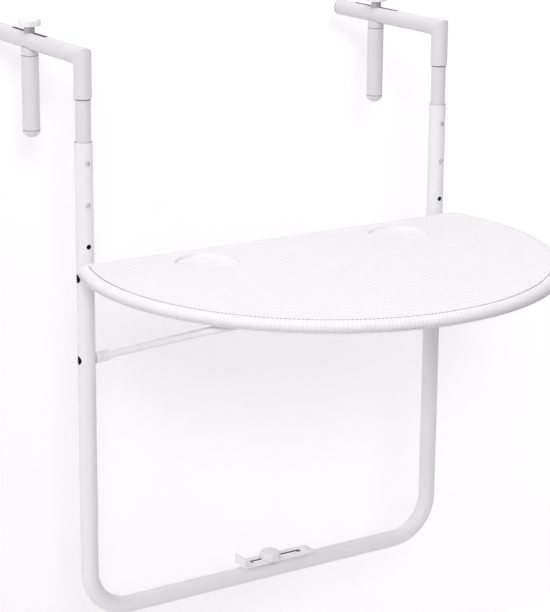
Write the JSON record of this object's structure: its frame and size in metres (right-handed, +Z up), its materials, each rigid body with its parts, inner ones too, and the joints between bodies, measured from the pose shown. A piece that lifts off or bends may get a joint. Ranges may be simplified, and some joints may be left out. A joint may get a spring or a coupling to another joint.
{
  "type": "balcony railing bar table",
  "caption": "Half-round white table top on a bent tube frame that hangs on a balcony railing by clamp hooks and folds flat against it.",
  "frame": {"origin": "front top edge of the railing, halfway between the hooks: the hook arms lie on z = 0 and the backs of the sleeves stand at y = 0", "axes": "+X along the railing to the user's right, +Y from the user across the railing, +Z up"},
  "size_m": [0.6, 0.6574, 0.746],
  "materials": {
    "frame_paint": "satin white powder coating",
    "rattan_top": "white moulded plastic with a woven rattan texture",
    "white_plastic": "white moulded plastic",
    "dark_plastic": "grey moulded plastic",
    "zinc_steel": "bright zinc plating",
    "spring_steel": "bright spring steel"
  },
  "bodies": {
    "rail_hooks": {"left_hook_tube": "frame_paint", "left_inner_tube": "frame_paint", "left_arm_plug": "white_plastic", "right_hook_tube": "frame_paint", "right_inner_tube": "frame_paint", "right_arm_plug": "white_plastic"},
    "frame": {"u_frame": "frame_paint", "pivot_bolts": "zinc_steel", "pivot_spacers": "white_plastic", "pivot_nuts": "zinc_steel", "foot_insert": "zinc_steel"},
    "top": {"table_top": "rattan_top", "left_hinge_bracket": "frame_paint", "right_hinge_bracket": "frame_paint", "bracket_screws": "zinc_steel", "left_catch": "white_plastic", "right_catch": "white_plastic", "catch_screws": "zinc_steel"},
    "bail": {"support_bail": "frame_paint"},
    "foot_swivel": {"foot_bush": "dark_plastic"},
    "foot_arm": {"foot_plate": "frame_paint", "foot_stud": "white_plastic"},
    "foot_lift": {"foot_screw": "zinc_steel"},
    "foot_turn": {"foot_knob": "white_plastic"},
    "left_button": {"left_snap_clip": "spring_steel"},
    "left_slider": {"left_slot_slider": "dark_plastic"},
    "left_knob": {"left_clamp_knob": "white_plastic", "left_clamp_screw": "zinc_steel"},
    "left_clamp": {"left_clamp_saddle": "white_plastic", "left_clamp_nut": "zinc_steel", "left_clamp_tube": "frame_paint", "left_clamp_plug": "white_plastic"},
    "right_button": {"right_snap_clip": "spring_steel"},
    "right_slider": {"right_slot_slider": "dark_plastic"},
    "right_knob": {"right_clamp_knob": "white_plastic", "right_clamp_screw": "zinc_steel"},
    "right_clamp": {"right_clamp_saddle": "white_plastic", "right_clamp_nut": "zinc_steel", "right_clamp_tube": "frame_paint", "right_clamp_plug": "white_plastic"}
  },
  "joints": [
    {"name": "left_button_press", "type": "slide", "parent": "rail_hooks", "child": "left_button", "axis": [0, 1, 0], "range_m": [0, 0.0035], "stiffness_N_per_m": 1200, "deforming": ["left_snap_clip"]},
    {"name": "left_slider_along_arm", "type": "slide", "parent": "rail_hooks", "child": "left_slider", "axis": [0, 1, 0], "range_m": [-0.046, 0.042]},
    {"name": "left_knob_turn", "type": "hinge", "parent": "left_slider", "child": "left_knob", "pos_m": [-0.26, 0.137, 0.029], "axis": [0, 0, 1], "range_deg": [0, 1081]},
    {"name": "left_clamp_drop", "type": "slide", "parent": "left_slider", "child": "left_clamp", "axis": [0, 0, 1], "range_m": [-0.003, 0]},
    {"name": "right_button_press", "type": "slide", "parent": "rail_hooks", "child": "right_button", "axis": [0, 1, 0], "range_m": [0, 0.0035], "stiffness_N_per_m": 1200, "deforming": ["right_snap_clip"]},
    {"name": "right_slider_along_arm", "type": "slide", "parent": "rail_hooks", "child": "right_slider", "axis": [0, 1, 0], "range_m": [-0.046, 0.042]},
    {"name": "right_knob_turn", "type": "hinge", "parent": "right_slider", "child": "right_knob", "pos_m": [0.26, 0.137, 0.029], "axis": [0, 0, 1], "range_deg": [0, 1081]},
    {"name": "right_clamp_drop", "type": "slide", "parent": "right_slider", "child": "right_clamp", "axis": [0, 0, 1], "range_m": [-0.003, 0]},
    {"name": "height_slide", "type": "slide", "parent": "rail_hooks", "child": "frame", "axis": [0, 0, 1], "range_m": [-0.051, 0.051]},
    {"name": "top_fold", "type": "hinge", "parent": "frame", "child": "top", "pos_m": [0, -0.011, -0.2585], "axis": [1, 0, 0], "range_deg": [0, 88]},
    {"name": "bail_swing", "type": "hinge", "parent": "frame", "child": "bail", "pos_m": [0, -0.011, -0.3615], "axis": [1, 0, 0], "range_deg": [0, 111.3]},
    {"name": "foot_plate_swivel", "type": "hinge", "parent": "frame", "child": "foot_swivel", "pos_m": [0.005, -0.011, -0.683], "axis": [0, 0, 1], "range_deg": [-180, 0]},
    {"name": "foot_plate_slide", "type": "slide", "parent": "foot_swivel", "child": "foot_arm", "axis": [1, 0, 0], "range_m": [-0.032, 0.024]},
    {"name": "foot_screw_rise", "type": "slide", "parent": "frame", "child": "foot_lift", "axis": [0, 0, 1], "range_m": [0, 0.0016]},
    {"name": "foot_knob_turn", "type": "hinge", "parent": "foot_lift", "child": "foot_turn", "pos_m": [0.005, -0.011, -0.675], "axis": [0, 0, 1], "range_deg": [0, 721]}
  ],
  "couplings": [
    {"joint": "left_knob_turn", "follows": "left_clamp_drop", "rad_per_m": -6283.2},
    {"joint": "right_knob_turn", "follows": "right_clamp_drop", "rad_per_m": -6283.2},
    {"joint": "bail_swing", "follows": "top_fold", "ratio": 1.264},
    {"joint": "foot_knob_turn", "follows": "foot_screw_rise", "rad_per_m": 7854}
  ]
}
